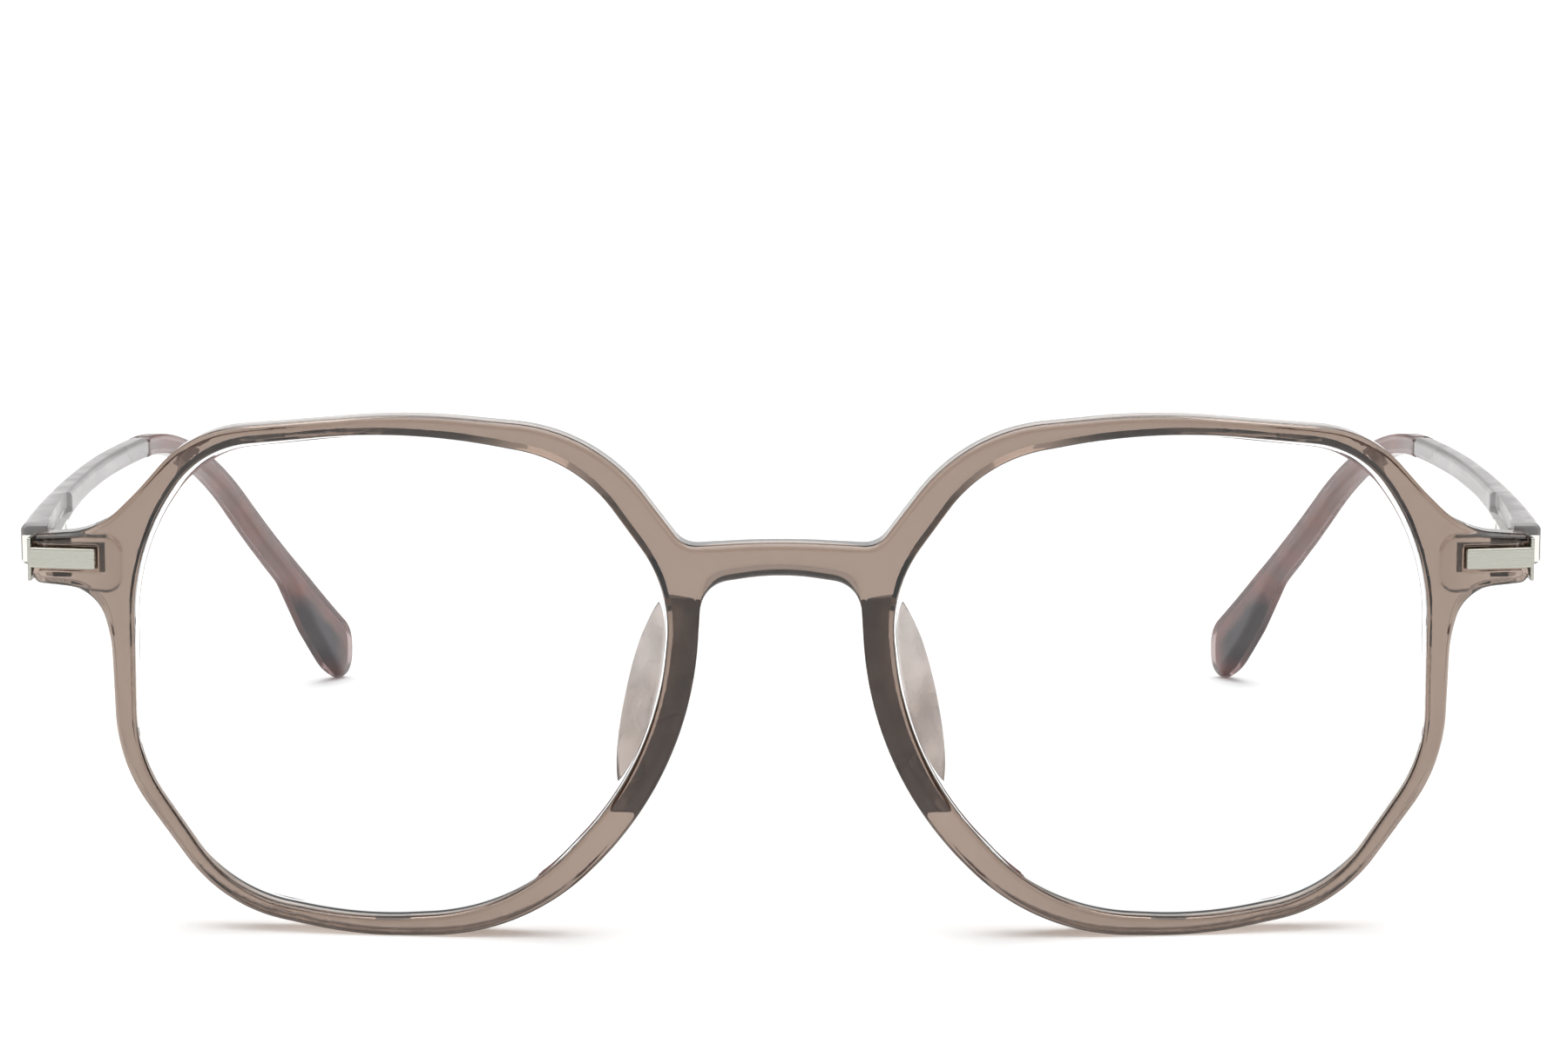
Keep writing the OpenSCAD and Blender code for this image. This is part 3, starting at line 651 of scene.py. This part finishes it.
# Satin nickel silver: brushed along the bar, in lines 0.08 mm apart that are drawn at 0.15 mm to
# show, so a light spreads up and down across them.
material, tree, shader, output = new_material("satin_nickel_silver")
set_inputs(shader, Base_Color=linear("#b4b3aa"), Metallic=1.0)
where = add(tree, "TexCoord").outputs["Object"]
drawn = add(tree, "Mapping", [(where, "Vector")], Scale=(0.02, 0, 1)).outputs[0]
lines = add(tree, "TexNoise", [(drawn, "Vector")], Scale=6500, Detail=2)
tone = add(tree, "MapRange", [(lines.outputs["Fac"], "Value")], To_Min=0.2, To_Max=0.34)
tree.links.new(tone.outputs["Result"], shader.inputs["Roughness"])
bump = add(tree, "Bump", [(lines.outputs["Fac"], "Height")], Strength=0.05, Distance=0.00002)
tree.links.new(bump.outputs["Normal"], shader.inputs["Normal"])
TRIM_METAL = material
for side, name in SIDES:
    points, faces = bar_mesh()
    bevelled(piece(
        f"{name}_trim_bar", points, faces, TRIM_METAL, "front", "trim_metal",
        f"{name}_corner_plate", side=side,
    ), 0.16)
    points, faces = box_mesh(
        [END_X + 0.03, END_X + PLATE_T], float(bow_y(END_X)) - 0.55, END_BACK - 0.02,
        END_Z - PLATE_H / 2, END_Z + PLATE_H / 2,
    )
    bevelled(piece(
        f"{name}_side_plate", points, faces, TRIM_METAL, "front", "trim_metal", side=side,
    ), 0.1)

# THE HINGES
# Three-barrel hinges of plated steel: the front leaf is sunk in the end piece, the temple leaf is
# screwed to the inside of the arm, and a slotted screw runs down through the barrels.


def plated(name, colour, low, high):
    """Plated steel: smooth metal with a little tarnish, which dulls it in patches of 0.7 mm and
    keeps the leaves and barrels from reading as mirrors."""
    material, tree, shader, output = new_material(name)
    set_inputs(shader, Metallic=1.0)
    where = add(tree, "TexCoord").outputs["Object"]
    patches = add(tree, "TexNoise", [(where, "Vector")], Scale=1400, Detail=3)
    dull = add(tree, "MapRange", [(patches.outputs["Fac"], "Value")], To_Min=low, To_Max=high)
    tree.links.new(dull.outputs["Result"], shader.inputs["Roughness"])
    ramp = add(tree, "ValToRGB", [(patches.outputs["Fac"], "Fac")])
    ramp.color_ramp.elements[0].color = linear(colour[0])
    ramp.color_ramp.elements[1].color = linear(colour[1])
    tree.links.new(ramp.outputs["Color"], shader.inputs["Base Color"])
    return material


HINGE_METAL = plated("plated_hinge_steel", ("#a9a7a3", "#cfcdc8"), 0.25, 0.42)
# The temple leaf is the same plated steel, painted lighter: a painted highlight for the light it
# catches beside the end piece.
LIGHTER_PAINTED_HINGE_METAL = plated("plated_hinge_steel_painted_lighter", ("#d9d7d1", "#eeece6"), 0.12, 0.24)
SCREW_METAL = plated("polished_screw_steel", ("#8a8886", "#bdbbb8"), 0.18, 0.32)
for name, metal in (("front_hinge", HINGE_METAL), ("temple_hinge", LIGHTER_PAINTED_HINGE_METAL),
                    ("hinge_screw", SCREW_METAL), ("leaf_screws", SCREW_METAL)):
    for side in ("left", "right"):
        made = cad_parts[f"{side}_{name}"]
        made.data.materials.clear()
        made.data.materials.append(metal)
        weld = made.modifiers.new("joined corners", "WELD")
        weld.merge_threshold = 0.002 * MM
        bevelled(made, 0.05, 2)

# THE TEMPLES
# Slim arms of pale grey clear plastic, with a shallow open pocket inside for the hinge leaf, and
# tips of rose-brown clear plastic over a flat metal core that runs on into the arm.
ARM_FRONT = END_BACK + 0.15 + 0.6 + 0.03
WIDE_X, WIDE_Y, ARM_R, EAR_PLAN_R = END_X + 3.7, 60.0, 600.0, 200.0
ARM_T, ARM_T_MID, TIP_T = 3.2, 2.2, 2.8
ARM_H, ARM_H_MID = 3.9, 2.3
ARM_TOP = END_TOP + 0.5
EAR_TOP, EAR_LOW = ARM_TOP - 0.6, ARM_TOP - 0.6 - ARM_H_MID
EAR_Y, EAR_ANGLE, EAR_R = 84.0, math.radians(38), 52.0
BEND_Y = EAR_Y + 0.6 + EAR_R * math.tan(EAR_ANGLE / 2)
TIP_Y = BEND_Y + (EAR_TOP - 6.7) / math.tan(EAR_ANGLE)
PADDLE_Y = TIP_Y - 10
BEND_IN = ARM_H_MID * math.tan(EAR_ANGLE / 2)
TOE = 3.0
THROAT_Y = BEND_Y + (EAR_LOW - 14) / math.tan(EAR_ANGLE) - BEND_IN
TIP_SIDE = [
    [EAR_Y + 0.05, EAR_TOP, 0.1],
    [BEND_Y, EAR_TOP, EAR_R],
    [PADDLE_Y, EAR_TOP - (PADDLE_Y - BEND_Y) * math.tan(EAR_ANGLE), 30],
    [TIP_Y, 6.3, 4],
    [TIP_Y - 0.13, -1.4, 0.9],
    [TIP_Y - 7.8, 7, 5],
    [THROAT_Y, 14, 8],
    [BEND_Y - BEND_IN, EAR_LOW, EAR_R - ARM_H_MID],
    [EAR_Y + 0.05, EAR_LOW, 0.1],
]


def sag(radius, run):
    """How far an arc falls away from its tangent over a run."""
    return radius - np.sqrt(radius ** 2 - run ** 2)


def radius_of(run, rise):
    """The radius of the arc that falls so far over a run."""
    return (run ** 2 + rise ** 2) / (2 * rise)


ARM_RUN = WIDE_Y - ARM_FRONT
ARM_R_IN = radius_of(ARM_RUN, sag(ARM_R, ARM_RUN) + ARM_T - ARM_T_MID)
TIP_RUN = TIP_Y - WIDE_Y
TIP_SLOPE = math.asin(TIP_RUN / EAR_PLAN_R)
TIP_THICKER = TIP_T / math.cos(TIP_SLOPE) - ARM_T_MID
EAR_PLAN_R_IN = radius_of(TIP_RUN, sag(EAR_PLAN_R, TIP_RUN) + TIP_THICKER)


def outer_x(y):
    """The temple's outer face from above: one arc to its widest place and one to its tip."""
    return WIDE_X - sag(np.where(y < WIDE_Y, ARM_R, EAR_PLAN_R), np.abs(y - WIDE_Y))


def inner_x(y):
    """The temple's inner face, on arcs of its own."""
    radius = np.where(y < WIDE_Y, ARM_R_IN, EAR_PLAN_R_IN)
    return WIDE_X - ARM_T_MID - sag(radius, np.abs(y - WIDE_Y))


def round_section(half_a, half_b, corner, steps=7):
    """Rings of a rounded oblong, half_a by half_b, from above the inner side round clockwise as
    seen from the front: each point is a corner's centre and a turn of the corner's radius."""
    turn = np.linspace(0, math.pi / 2, steps)
    signs = np.repeat([[1, 1], [1, -1], [-1, -1], [-1, 1]], steps, 0)
    spin = np.concatenate([math.pi / 2 - turn, -turn, -math.pi / 2 - turn, math.pi - turn])
    corner = np.minimum(corner, np.minimum(half_a, half_b) * 0.98)[:, None]
    a = signs[:, 0] * (half_a[:, None] - corner) + corner * np.cos(spin)
    b = signs[:, 1] * (half_b[:, None] - corner) + corner * np.sin(spin)
    return a, b


# The arm's edges and ends are round. Its underside rises to FLAT_Y and runs on nearly level,
# and its pocket starts above a low lip: INNER_ROWS are the heights of the points on its inner
# face, as shares of half its height, with the lip's edge between the first two.
ARM_EDGE_R, ARM_END_R, ARM_STEPS = 0.62, 0.3, 8
FLAT_Y, FLAT_LIFT, FLAT_BLEND = 40, 0.3, 0.3
POCKET, POCKET_END, POCKET_RUN = 0.6, 34.4, 1.8
INNER_ROWS, LIP = (-0.45, -0.42, 0.0, 0.4), 0.285


def arm_mesh():
    """Rings from the hinge to the tip. The inner face is set in above a low lip, as far as the
    pocket's end, and every edge is round."""
    y = np.concatenate([
        ARM_FRONT + np.array([0, 0.1, 0.3, 0.6]),
        np.linspace(ARM_FRONT + 1.5, POCKET_END - 0.2, 21),
        np.linspace(POCKET_END + 0.1, POCKET_END + POCKET_RUN + 0.3, 9),
        np.linspace(POCKET_END + POCKET_RUN + 1.3, EAR_Y - 0.8, 40),
        EAR_Y - np.array([0.3, 0.1, 0.0]),
    ])
    share = (y - ARM_FRONT) / (EAR_Y - ARM_FRONT)
    top = ARM_TOP + (EAR_TOP - ARM_TOP) * share
    rise = (EAR_LOW + FLAT_LIFT - (ARM_TOP - ARM_H)) / (FLAT_Y - ARM_FRONT)
    low = ARM_TOP - ARM_H + rise * (y - ARM_FRONT)
    flat = EAR_LOW + FLAT_LIFT - FLAT_LIFT * (y - FLAT_Y) / (EAR_Y - FLAT_Y)
    low = (low + flat - np.sqrt((low - flat) ** 2 + FLAT_BLEND ** 2)) / 2
    end = np.minimum(np.minimum(y - ARM_FRONT, EAR_Y - y) / ARM_END_R, 1)
    shrink = (ARM_END_R * (1 - np.sqrt(1 - (1 - end) ** 2)))[:, None]
    outer, inner = outer_x(y), inner_x(y)
    half_a, half_b = (outer - inner) / 2, (top - low) / 2
    a, b = round_section(half_a, half_b, np.full_like(y, ARM_EDGE_R), ARM_STEPS)
    a = np.sign(a) * np.maximum(np.abs(a) - shrink, 0.01)
    b = np.sign(b) * np.maximum(np.abs(b) - shrink, 0.01)
    x = (outer + inner)[:, None] / 2 + a
    z = (top + low)[:, None] / 2 + b
    side = 3 * ARM_STEPS
    extra_b = np.array(INNER_ROWS) * half_b[:, None]
    extra_x = inner[:, None] + shrink + extra_b * 0
    extra_z = (top + low)[:, None] / 2 + extra_b
    x = np.concatenate([x[:, :side], extra_x, x[:, side:]], 1)
    z = np.concatenate([z[:, :side], extra_z, z[:, side:]], 1)
    pocket = POCKET * (1 - smooth_step((y - POCKET_END) / POCKET_RUN))[:, None]
    above = z > (low + (top - low) * LIP)[:, None]
    floor = inner[:, None] + pocket
    x = np.where(above & (x < floor), floor, x)
    rings = np.stack([x, np.broadcast_to(y[:, None], x.shape), z], -1)
    return tube(rings)


def tip_curves(corners, count):
    """The top and bottom curves of a tip's side, from the arm to the toe, at matching shares of
    their lengths, closer together towards the toe."""
    loop, _ = rounded(corners, 0.4)
    foot = int(np.argmin(loop[:, 1] - 0.01 * loop[:, 0]))
    share = np.sin(np.linspace(0, 1, count) * math.pi / 2)
    curves = []
    for line in (loop[:foot + 1], np.concatenate([loop[:1], loop[::-1]])[1:len(loop) - foot + 1]):
        run = np.concatenate([[0], np.cumsum(np.linalg.norm(np.diff(line, axis=0), axis=1))])
        at = share * run[-1]
        curves.append(np.stack([np.interp(at, run, line[:, k]) for k in (0, 1)], -1))
    return curves


def tip_mesh(corners, inset, corner, count):
    """Rings between the top and the bottom curve, each as thick as the temple there less an inset
    from either face. Over the toe they close in to a round end."""
    top, low = tip_curves(corners, count)
    middle, half = (top + low) / 2, (top - low) / 2
    half_b = np.maximum(np.linalg.norm(half, axis=1), 0.02)
    thick = (outer_x(middle[:, 0]) - inner_x(middle[:, 0])) / 2 - inset
    close = np.clip(np.linalg.norm(middle - middle[-1], axis=1) / TOE, 0, 1)
    half_a = thick * np.maximum(np.sqrt(1 - (1 - close) ** 2), 0.05)
    a, b = round_section(half_a, half_b, np.full(count, corner))
    along = half / half_b[:, None]
    y = middle[:, :1] + b * along[:, :1]
    z = np.maximum(middle[:, 1:] + b * along[:, 1:], 0)
    x = (outer_x(y) + inner_x(y)) / 2 + a
    return tube(np.stack([x, y, z], -1))


# Pale grey arm plastic: nearly colourless through 2 mm, greyer seen along its length.
ARM_PLASTIC = clear_plastic(
    "pale_grey_arm_plastic", surface="#c8c5c5", inside="#a8a2a4", per_metre=210.0,
    shade="#e2e0e0", clear=0.64, rough=0.2, wave=0.12,
)
# Rose-brown tip plastic, deeper in colour than the arm.
TIP_PLASTIC = clear_plastic(
    "rose_brown_tip_plastic", surface="#b9a7a4", inside="#a98a8a", per_metre=150.0,
    shade="#d2caca", clear=0.93, rough=0.2, wave=0.05,
)

# The core: a flat strip of spring steel, lacquered rose in streaks drawn out to 5 mm. It gives
# the tip its dark heart, which is painted: a dark grey patch in the paddle's lower part, from 1 to
# 3 mm below its top edge, is a painted reflection of the dark room. The lacquer pales towards the
# arm.
material, tree, shader, output = new_material("core_steel_lacquered_with_painted_dark")
set_inputs(shader, Metallic=0.3, Roughness=0.45)
where = add(tree, "TexCoord").outputs["Object"]
drawn = add(tree, "Mapping", [(where, "Vector")], Scale=(1, 0.35, 0.6)).outputs[0]
cells = add(tree, "TexNoise", [(drawn, "Vector")], Scale=420, Detail=2)
streaks = add(tree, "ValToRGB", [(cells.outputs["Fac"], "Fac")])
streaks.color_ramp.elements[0].position, streaks.color_ramp.elements[1].position = 0.35, 0.7
streaks.color_ramp.elements[0].color = linear("#a58a80")
streaks.color_ramp.elements[1].color = linear("#c8968a")
edge_z = (EAR_TOP * math.cos(EAR_ANGLE) + (BEND_Y + FACE_Y) * math.sin(EAR_ANGLE)) * MM
turned = add(
    tree, "Mapping", [(where, "Vector")], Rotation=(EAR_ANGLE, 0, 0), Location=(0, 0, -edge_z)
)
across = add(tree, "SeparateXYZ", [(turned.outputs[0], "Vector")])
wobble = add(tree, "Math", [(cells.outputs["Fac"], 0)], TIMES)
wobble.inputs[1].default_value = 0.0012
below = add(tree, "Math", [(across.outputs["Z"], 0), (wobble.outputs[0], 1)], PLUS)
# The painted dark reflection: a band from 1 to 3 mm below the paddle's top edge, wavering with the
# streaks.
painted_dark_depth = add(
    tree, "MapRange", [(below.outputs[0], "Value")], SMOOTH, From_Min=-0.0010, From_Max=-0.0026
)
along = add(tree, "SeparateXYZ", [(where, "Vector")])
start = add(
    tree, "MapRange", [(along.outputs["Z"], "Value")], SMOOTH, From_Min=0.0185, From_Max=0.0155
)
short = add(
    tree, "MapRange", [(along.outputs["Y"], "Value")], SMOOTH,
    From_Min=(TIP_Y - 0.5 + FACE_Y) * MM, From_Max=(TIP_Y - 4 + FACE_Y) * MM,
)
paddle = add(tree, "Math", [(painted_dark_depth.outputs["Result"], 0), (short.outputs["Result"], 1)], TIMES)
painted_dark_patch = add(tree, "Math", [(paddle.outputs[0], 0), (start.outputs["Result"], 1)], TIMES)
# The lacquer's streaks, with the painted dark reflection mixed in over the paddle's lower part.
steel = add(
    tree, "Mix", [(painted_dark_patch.outputs[0], 0), (streaks.outputs["Color"], 6)], {"data_type": "RGBA"}
)
# Dark grey of the painted reflection of the dark room.
steel.inputs[7].default_value = linear("#25282f")
pale = add(
    tree, "MapRange", [(along.outputs["Y"], "Value")], SMOOTH,
    From_Min=(EAR_Y + 8 + FACE_Y) * MM, From_Max=(EAR_Y + FACE_Y) * MM,
)
tone = add(
    tree, "Mix", [(pale.outputs["Result"], 0), (steel.outputs[2], 6)], {"data_type": "RGBA"}
)
tone.inputs[7].default_value = linear("#c2bfbf")
tree.links.new(tone.outputs[2], shader.inputs["Base Color"])
CORE_METAL = material

CORE_COVER, CORE_T = 0.65, 0.9
inside = grown(TIP_SIDE, [-CORE_COVER] * len(TIP_SIDE))
CORE_SIDE = [
    [EAR_Y - 8, EAR_TOP - CORE_COVER, 0.1], *inside[1:8], [EAR_Y - 8, EAR_LOW + CORE_COVER, 0.1],
]
for side, name in SIDES:
    body = f"{name}_temple"
    points, faces = arm_mesh()
    piece(
        f"{name}_arm", points, faces, ARM_PLASTIC, body, "arm_plastic", f"{name}_temple_arm",
        side=side,
    )
    points, faces = tip_mesh(CORE_SIDE, inset=(ARM_T_MID - CORE_T) / 2, corner=0.25, count=90)
    piece(
        f"{name}_core", points, faces, CORE_METAL, body, "core_metal", f"{name}_tip_core",
        side=side,
    )
    points, faces = tip_mesh(TIP_SIDE, inset=0.0, corner=0.5, count=120)
    piece(
        f"{name}_tip", points, faces, TIP_PLASTIC, body, "tip_plastic", f"{name}_temple_tip",
        side=side,
    )

# THE STAGE
# A plain white floor, and a surround that is white overhead and in a low band behind, and dark
# between and at the sides, so that round edges read dark. A wide sun and soft boxes light it.
floor = bpy.data.meshes.new("floor")
floor.from_pydata([(-12, -12, 0), (12, -12, 0), (12, 12, 0), (-12, 12, 0)], [], [(0, 1, 2, 3)])
material, tree, shader, output = new_material("white_floor")
set_inputs(shader, Base_Color=linear("#f4f4f4"), Roughness=0.9, Specular_IOR_Level=0.1)
floor.materials.append(material)
floor_piece = bpy.data.objects.new("floor", floor)
bpy.context.scene.collection.objects.link(floor_piece)

world = bpy.data.worlds.new("white surround")
bpy.context.scene.world = world
world.use_nodes = True
tree = world.node_tree
way = add(tree, "SeparateXYZ", [(add(tree, "TexCoord").outputs["Generated"], "Vector")])
up = add(
    tree, "MapRange", [(way.outputs["Z"], "Value")], SMOOTH,
    From_Min=0.5, From_Max=0.9, To_Min=0.1, To_Max=1.6,
)
behind = add(
    tree, "MapRange", [(way.outputs["Y"], "Value")], SMOOTH,
    From_Min=-0.9, From_Max=0.2, To_Min=0.55, To_Max=1.0,
)
glow = add(tree, "Math", [(up.outputs["Result"], 0), (behind.outputs["Result"], 1)], TIMES)
low = add(
    tree, "MapRange", [(way.outputs["Z"], "Value")], SMOOTH,
    From_Min=0.14, From_Max=0.175, To_Min=0.9, To_Max=0.0,
)
far = add(tree, "MapRange", [(way.outputs["Y"], "Value")], SMOOTH, From_Min=0.82, From_Max=0.94)
backdrop = add(tree, "Math", [(low.outputs["Result"], 0), (far.outputs["Result"], 1)], TIMES)
total = add(tree, "Math", [(glow.outputs[0], 0), (backdrop.outputs[0], 1)], PLUS)
path = add(tree, "LightPath")
seen = add(tree, "Mix", [(path.outputs["Is Camera Ray"], 0), (total.outputs[0], 2)])
seen.inputs[3].default_value = 1.0
tree.links.new(seen.outputs[0], tree.nodes["Background"].inputs["Strength"])
tree.nodes["Background"].inputs["Color"].default_value = (1, 1, 1, 1)


def soft_lamp(name, place, target, size, watts):
    """A square soft box turned to a place."""
    lamp = bpy.data.lights.new(name, "AREA")
    lamp.size, lamp.energy = size, watts
    made = bpy.data.objects.new(name, lamp)
    bpy.context.scene.collection.objects.link(made)
    made.location = place
    made.rotation_euler = (Vector(target) - Vector(place)).to_track_quat("-Z", "Y").to_euler()


soft_lamp("top soft box", (0, 0.15, 0.9), (0, 0, 0), 0.9, 2.4)
soft_lamp("left soft box", (-0.7, -0.5, 0.6), (0, 0, 0.02), 0.5, 1.6)
soft_lamp("right soft box", (0.7, -0.5, 0.6), (0, 0, 0.02), 0.5, 1.6)

overhead = bpy.data.lights.new("overhead light", "SUN")
overhead.energy, overhead.angle = 1.25, math.radians(70)
bpy.context.scene.collection.objects.link(bpy.data.objects.new("overhead light", overhead))

# The photograph's camera, as near as it could be fitted.
camera = bpy.data.cameras.new("camera")
camera.lens, camera.sensor_width, camera.clip_start = 99.7, 36.0, 0.01
view = bpy.data.objects.new("camera", camera)
bpy.context.scene.collection.objects.link(view)
view.location = (0.0003, (FACE_Y - 400) * MM, 0.0968)
view.rotation_euler = (math.radians(90 - 8.1), 0, 0)
bpy.context.scene.camera = view
bpy.context.scene.view_settings.view_transform = "Standard"
